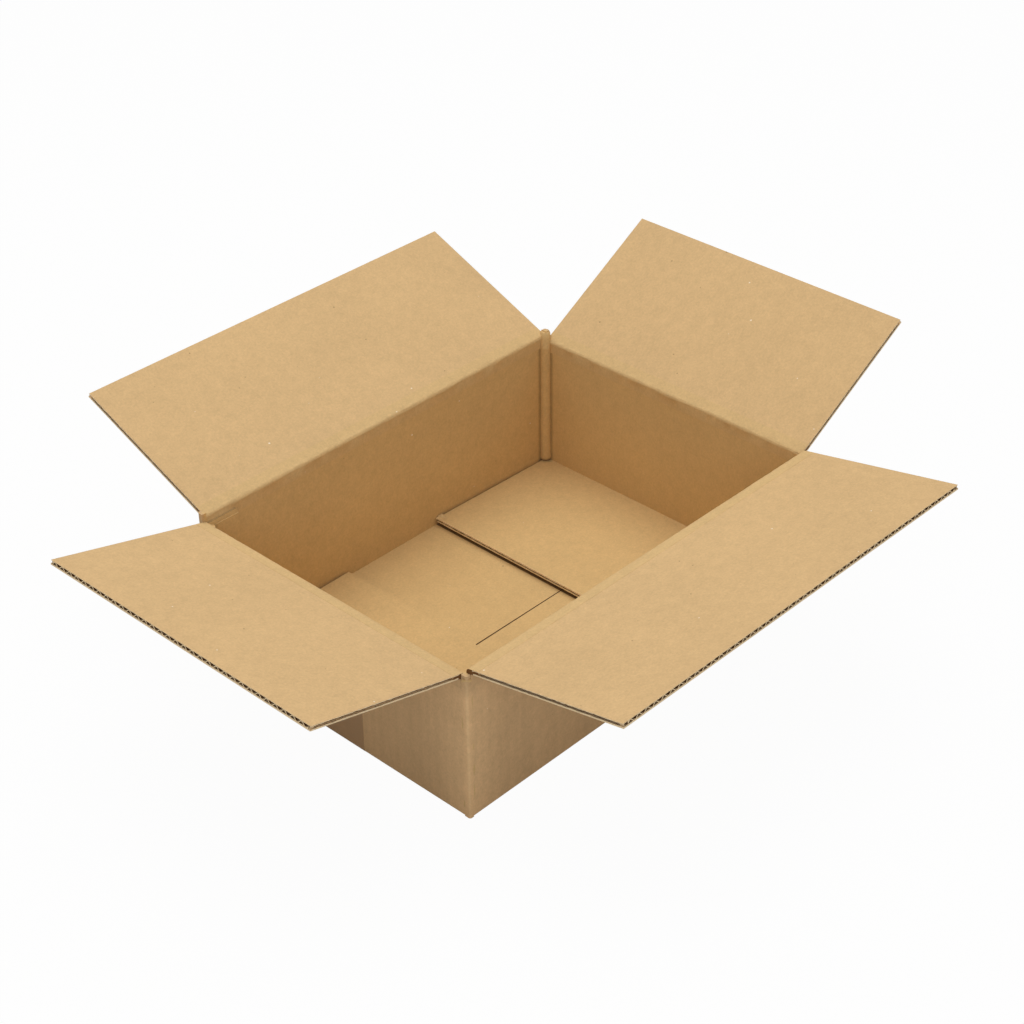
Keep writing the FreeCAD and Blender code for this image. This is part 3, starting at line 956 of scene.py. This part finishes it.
@dataclass
class RidgeTop:
    """The upper end of a corner ridge, rolled back to the post, with a torn rim.
    """

    corner: Corner
    half_length: float
    half_width: float
    sections: Tuple[Tuple[float, float, float], ...]
    tear: float
    inset: float = 4.0 * MM
    radius: float = 3.9 * MM
    bottom: float = 94.2 * MM
    sides: int = 20
    rim: float = 0.55 * MM
    hollow: float = 0.4 * MM
    ripple: float = 0.16 * MM
    flat: float = 0.02

    def build(self) -> Any:
        """Model the roll's end.

        Returns:
            The piece, in the model's frame.
        """
        side_x, side_y, joint, seed = self.corner.value
        name = self.corner.name.lower() + "_ridge_top"
        piece, height = rolled(name, self.half_length - self.inset, self.half_width - self.inset,
                               self.bottom, self.radius, self.sides, self.sections)
        bpy.ops.mesh.inset(thickness=self.rim)
        bpy.ops.transform.translate(value=(0.0, 0.0, -self.hollow))
        face_outward()
        pick(piece, lambda point: self.bottom + MM < point.z < height - 0.1 * MM)
        bpy.ops.transform.vertex_random(offset=self.ripple, uniform=0.6, normal=0.0, seed=seed)
        pick(piece, lambda point: point.z > height - 0.1 * MM)
        bpy.ops.transform.vertex_random(offset=self.tear, uniform=0.9, normal=0.0, seed=seed + 7)
        bpy.ops.object.mode_set(mode="OBJECT")
        bpy.ops.object.shade_smooth_by_angle(angle=math.radians(60))
        place_corner(piece, side_x, side_y)
        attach(piece, "box")
        anchor = (side_x * self.half_length, side_y * self.half_width, self.bottom + 0.2 * MM)
        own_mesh(piece)
        return piece


@dataclass
class TabTop:
    """The crushed upper end of the glue tab, which runs back into the wall below its score."""

    left: float = -149.0 * MM
    right: float = -122.6 * MM
    face: float = 106.1 * MM
    wall: float = 107.0 * MM
    bottom: float = 94.0 * MM
    top: float = 97.8 * MM

    def build(self, wall: Any, material: Any) -> Any:
        """Model the end as a block that is cut back at its top.

        Args:
            wall: the finish of its upright face.
            material: the finish of its upper edge, darkened as painted shade.

        Returns:
            The piece, in the model's frame.
        """
        deselect()
        size = (self.right - self.left, self.wall - self.face + 0.4 * MM, self.top - self.bottom)
        middle = ((self.left + self.right) / 2, self.face + size[1] / 2, (self.bottom + self.top) / 2)
        bpy.ops.mesh.primitive_cube_add(size=1.0, location=middle, scale=size)
        piece = bpy.context.object
        piece.name = "glue_tab_top"
        bpy.ops.object.transform_apply(location=True, rotation=False, scale=True)
        near_top = self.top - size[2] / 2
        pick(piece, lambda point: point.x > self.right - MM and point.z > near_top)
        bpy.ops.transform.translate(value=(-2.2 * MM, 0.0, 0.0))
        near_face = self.face + 0.1 * MM
        pick_edges(piece, lambda *ends: all(end.y < near_face and end.z > near_top for end in ends))
        bpy.ops.mesh.bevel(offset=0.4 * MM, segments=2)
        face_outward()
        bpy.ops.object.mode_set(mode="OBJECT")
        bpy.ops.object.shade_smooth_by_angle(angle=math.radians(40))
        piece.data.materials.append(wall)
        piece.data.materials.append(material)
        # faces that look up take the darker finish: painted shade against the light they catch
        for polygon in piece.data.polygons:
            polygon.material_index = 1 if polygon.normal.z > 0.2 else 0
        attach(piece, "box")
        return piece


@dataclass
class TornCorner:
    """The crumpled back corner of the upper bottom flap: liner that is torn up and curls."""

    x: float
    y: float
    height: float
    size: Tuple[float, float] = (6.5 * MM, 6.0 * MM)
    lift: float = 0.9 * MM
    crumple: float = 0.55 * MM
    paper: float = 0.3 * MM

    def build(self, material: Any) -> Any:
        """Model the torn liner.

        Args:
            material: its finish.

        Returns:
            The piece.
        """
        deselect()
        middle = (self.x + self.size[0] / 2 - 1.2 * MM, self.y - self.size[1] / 2, self.height)
        bpy.ops.mesh.primitive_grid_add(x_subdivisions=6, y_subdivisions=6, size=1.0, location=middle)
        piece = bpy.context.object
        piece.name = "torn_bottom_corner"
        bpy.ops.object.mode_set(mode="EDIT")
        bpy.ops.transform.resize(value=(self.size[0], self.size[1], 1.0), center_override=middle)
        bpy.ops.object.mode_set(mode="OBJECT")
        bpy.ops.object.transform_apply(location=True, rotation=False, scale=False)
        pick(piece, lambda point: point.x < self.x + MM)
        bpy.ops.transform.translate(value=(0.6 * MM, 0.0, -self.lift))
        pick(piece, lambda point: point.y > self.y - 2.2 * MM)
        bpy.ops.transform.translate(value=(0.0, 0.0, self.lift * 0.8))
        bpy.ops.mesh.select_all(action="SELECT")
        bpy.ops.transform.vertex_random(offset=self.crumple, uniform=0.2, normal=0.0, seed=4)
        bpy.ops.object.mode_set(mode="OBJECT")
        thicken(piece, self.paper)
        bpy.ops.object.shade_smooth_by_angle(angle=math.radians(40))
        piece.data.materials.append(material)
        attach(piece, "box")
        return piece


@dataclass
class Studio:
    """The floor, the light and the camera."""

    aim: Vector = Vector((-391.87, -376.6, 445.09)) * MM
    azimuth: float = math.radians(-46.227)
    elevation: float = math.radians(33.799)
    distance: float = 655.87 * MM
    roll: float = math.radians(-0.709)
    lens: float = 76.31
    sensor: float = 36.0
    ambient: float = 0.37
    floor_glow: float = 0.965
    warm: Colour = (1.0, 0.985, 0.96)

    def floor(self) -> Any:
        """A wide pale floor that keeps the box's shadow.

        Returns:
            The floor.
        """
        deselect()
        bpy.ops.mesh.primitive_plane_add(size=12.0, location=(0.0, 0.0, -0.05 * MM))
        floor = bpy.context.object
        floor.name = "studio_floor"
        graph = Graph("pale_floor")
        seen = graph.node("ShaderNodeLightPath", {}, {}, "Is Camera Ray")
        paint = graph.node("ShaderNodeBsdfDiffuse", {}, {"Color": (0.78, 0.78, 0.78)})
        glow = graph.node("ShaderNodeEmission", {}, {"Color": (1.0, 1.0, 1.0), "Strength": 1.0})
        blended = graph.node("ShaderNodeMixShader", {}, {0: seen * self.floor_glow, 1: paint, 2: glow})
        floor.data.materials.append(graph.node_end(blended))
        return floor

    def world(self) -> None:
        """White behind everything, and a soft even light."""
        world = bpy.data.worlds.new("studio")
        bpy.context.scene.world = world
        world.use_nodes = True
        tree = world.node_tree
        tree.nodes.clear()
        path = tree.nodes.new("ShaderNodeLightPath")
        light = tree.nodes.new("ShaderNodeBackground")
        light.inputs["Color"].default_value = (*self.warm, 1.0)
        light.inputs["Strength"].default_value = self.ambient
        white = tree.nodes.new("ShaderNodeBackground")
        white.inputs["Color"].default_value = (1.0, 1.0, 1.0, 1.0)
        white.inputs["Strength"].default_value = 1.0
        mix = tree.nodes.new("ShaderNodeMixShader")
        end = tree.nodes.new("ShaderNodeOutputWorld")
        tree.links.new(path.outputs["Is Camera Ray"], mix.inputs[0])
        tree.links.new(light.outputs[0], mix.inputs[1])
        tree.links.new(white.outputs[0], mix.inputs[2])
        tree.links.new(mix.outputs[0], end.inputs["Surface"])

    def lamp(self, name: str, place: Sequence[float], size: float, power: float, colour: Colour) -> None:
        """One square soft light aimed at the box.

        Args:
            name: the lamp's name.
            place: where it hangs.
            size: its side.
            power: its power in watts.
            colour: its colour.
        """
        data = bpy.data.lights.new(name, "AREA")
        data.size = size
        data.energy = power
        data.color = colour
        lamp = bpy.data.objects.new(name, data)
        lamp.location = place
        lamp.rotation_euler = (self.aim - Vector(place)).to_track_quat("-Z", "Y").to_euler()
        bpy.context.scene.collection.objects.link(lamp)

    def lights(self) -> None:
        """An overhead softbox, a weaker one from the camera's side and a low one in front."""
        self.lamp("overhead", (0.1, 0.25, 1.9), 1.8, 26.0, self.warm)
        self.lamp("fill", (-1.3, -1.2, 1.1), 1.2, 4.3, (0.99, 0.985, 1.0))
        self.lamp("front", (0.25, -1.7, 0.28), 0.9, 1.6, self.warm)

    def camera(self) -> None:
        """The photograph's own view."""
        a, e = self.azimuth, self.elevation
        back = Vector((math.sin(a) * math.cos(e), -math.cos(a) * math.cos(e), math.sin(e)))
        data = bpy.data.cameras.new("camera")
        data.lens = self.lens
        data.sensor_width = self.sensor
        data.sensor_fit = "HORIZONTAL"
        data.clip_start = 0.05
        data.clip_end = 50.0
        camera = bpy.data.objects.new("camera", data)
        turn = (-back).to_track_quat("-Z", "Y").to_matrix() @ Matrix.Rotation(self.roll, 3, "Z")
        camera.matrix_world = Matrix.Translation(self.aim + back * self.distance) @ turn.to_4x4()
        bpy.context.scene.collection.objects.link(camera)
        bpy.context.scene.camera = camera

    def build(self) -> None:
        """Set up the studio."""
        self.floor()
        self.world()
        self.lights()
        self.camera()
        bpy.context.scene.view_settings.view_transform = "Standard"


@dataclass
class Carton:
    """The box: its finishes and the pieces added to it."""

    kraft: Kraft
    board: float = 3.0 * MM
    inset: float = 0.5 * MM
    flap_gap: float = 0.2 * MM
    torn_gap: float = 0.6 * MM
    tall_tear: float = 0.2 * MM
    low_tear: float = 0.5 * MM
    tall_sections: Tuple[Tuple[float, float, float], ...] = (
        (97.0, 0.97, 0.3), (99.5, 0.94, 0.6), (102.0, 0.9, 0.9), (104.0, 0.84, 1.3), (105.0, 0.7, 1.6),
    )
    low_sections: Tuple[Tuple[float, float, float], ...] = (
        (95.3, 0.9, 0.6), (96.1, 0.76, 1.3), (96.8, 0.64, 1.9), (97.5, 0.56, 2.2),
    )

    def folds(self) -> List[Fold]:
        """The four folds, read from the hinges and the flaps.

        Returns:
            One fold for each flap.
        """
        found = []
        for seed, joint in enumerate(frame["joints"]):
            flap = joint["name"].replace("_hinge", "")
            pivot = Vector(joint["pos_m"])
            yaw = math.atan2(-pivot.x, pivot.y)
            angle = math.radians(-joint["range_deg"][0] - 90)
            low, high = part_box(flap)
            length = (high - low).x if abs(pivot.y) > abs(pivot.x) else (high - low).y
            found.append(Fold(flap, joint["child"], pivot, yaw, angle, length, self.board, self.inset, seed=seed))
        return found

    def dress(self, node: str, material: Any) -> None:
        """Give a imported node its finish."""
        materials = frame["nodes"][node].data.materials
        materials.clear()
        materials.append(material)

    def corners(self, high: Vector, material: Any) -> List[Any]:
        """The ridge and its upper end in each corner.

        Args:
            high: the outer corner of the walls, and the top of the back posts.
            material: their finish.

        Returns:
            The pieces.
        """
        made = []
        for corner in Corner:
            made.append(Ridge(corner, high.x, high.y).build())
            tall = corner is Corner.RIGHT_BACK
            sections = self.tall_sections if tall else self.low_sections
            tear = self.tall_tear if tall else self.low_tear
            made.append(RidgeTop(corner, high.x, high.y, sections, tear).build())
        for piece in made:
            piece.data.materials.append(material)
        return made

    def build(self) -> None:
        """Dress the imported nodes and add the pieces."""
        _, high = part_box("box_body")
        body = BodyBoard(self.kraft, high.x, high.y, self.board)
        self.dress("box_body", body.build())
        self.dress("packing_tape", TapeFilm().build())
        inside = Liner(self.kraft, "kraft_liner_inside", self.kraft.bent).build()
        hollow = Liner(self.kraft, "kraft_flute_ends", self.kraft.medium).build()
        outside = Liner(self.kraft, "kraft_liner_outside", self.kraft.outside).build()
        crushed = Liner(self.kraft, "kraft_liner_crushed", self.kraft.inner_wall, 0.1, 6.0 * MM).build()
        frayed = Liner(self.kraft, "kraft_liner_frayed", self.kraft.raw, 0.8).build()
        for fold in self.folds():
            depth = high.y - self.inset - self.flap_gap
            finish = FlapBoard(
                self.kraft, fold.flap + "_board", fold.pivot, fold.lean(),
                outer_face=self.inset, inner_face=self.inset - self.board, free_edge=depth,
            )
            self.dress(fold.flap, finish.build())
            piece = fold.build(inside, outside, hollow)
            LOG.info("made %s", piece.name)
            for lip in flap_lips(fold, depth, frayed):
                LOG.info("made %s", lip.name)
        LOG.info("made %s", bottom_lips(body, frayed).name)
        edge_top = body.right_edge + self.board
        corner = TornCorner(body.bottom_edge, high.y - self.board - self.torn_gap, edge_top).build(inside)
        LOG.info("made %s", corner.name)
        tab_end_shade = Liner(self.kraft, "kraft_tab_end", self.kraft.painted_tab_shade).build()
        tab = Liner(self.kraft, "kraft_liner_tab", self.kraft.inner_wall).build()
        for piece in self.corners(high, crushed) + [TabTop().build(tab, tab_end_shade)]:
            LOG.info("made %s", piece.name)


def main() -> None:
    """Build the studio and the box."""
    logging.basicConfig(level=logging.INFO, format="%(name)s: %(message)s")
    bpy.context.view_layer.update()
    Studio().build()
    Carton(Kraft()).build()


if __name__ == "__main__":
    main()
